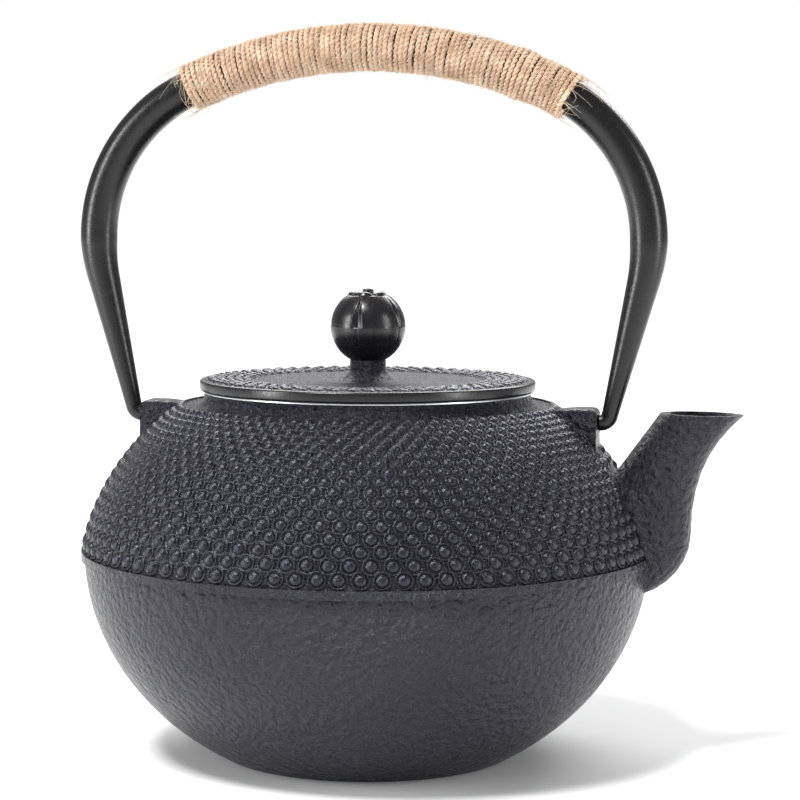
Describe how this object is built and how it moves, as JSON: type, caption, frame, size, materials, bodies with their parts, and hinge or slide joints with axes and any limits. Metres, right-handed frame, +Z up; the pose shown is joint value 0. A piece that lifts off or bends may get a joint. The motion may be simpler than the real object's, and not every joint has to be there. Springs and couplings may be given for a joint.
{
  "type": "cast iron teapot",
  "caption": "Squat hobnail cast iron teapot with a lift-off ball-knob lid, a lift-out steel strainer, a short curved spout and a swinging bail handle wound with twine.",
  "frame": {"origin": "centre of the flat base, on the surface that the teapot stands on", "axes": "+Z up, +X towards the spout, the bail upright in the XZ plane"},
  "size_m": [0.1949, 0.166, 0.2113],
  "materials": {
    "cast_black": "satin black enamel over sand-cast iron",
    "knob_black": "smooth semi-gloss black",
    "satin_black_paint": "satin black baked paint over steel tube",
    "strainer_steel": "polished stainless sheet and woven mesh",
    "bright_steel": "zinc plated",
    "jute": "natural jute twine"
  },
  "bodies": {
    "pot": {"pot_bowl": "cast_black", "pot_shoulder": "cast_black", "spout": "cast_black"},
    "strainer": {"strainer_flange": "strainer_steel", "strainer_wall": "strainer_steel", "strainer_floor": "strainer_steel", "strainer_base_ring": "strainer_steel"},
    "lid": {"lid_plate": "cast_black", "lid_knob": "knob_black", "knob_stud": "bright_steel", "knob_washer": "bright_steel", "knob_nut": "bright_steel"},
    "handle": {"handle_bail": "satin_black_paint", "grip_twine": "jute"}
  },
  "joints": [
    {"name": "handle_swing", "type": "hinge", "parent": "pot", "child": "handle", "pos_m": [0, 0, 0.0977], "axis": [1, 0, 0], "range_deg": [-122, 122]},
    {"name": "strainer_lift", "type": "slide", "parent": "pot", "child": "strainer", "axis": [0, 0, 1], "range_m": [0, 0.055]},
    {"name": "lid_lift", "type": "slide", "parent": "strainer", "child": "lid", "axis": [0, 0, 1], "range_m": [0, 0.05]}
  ]
}
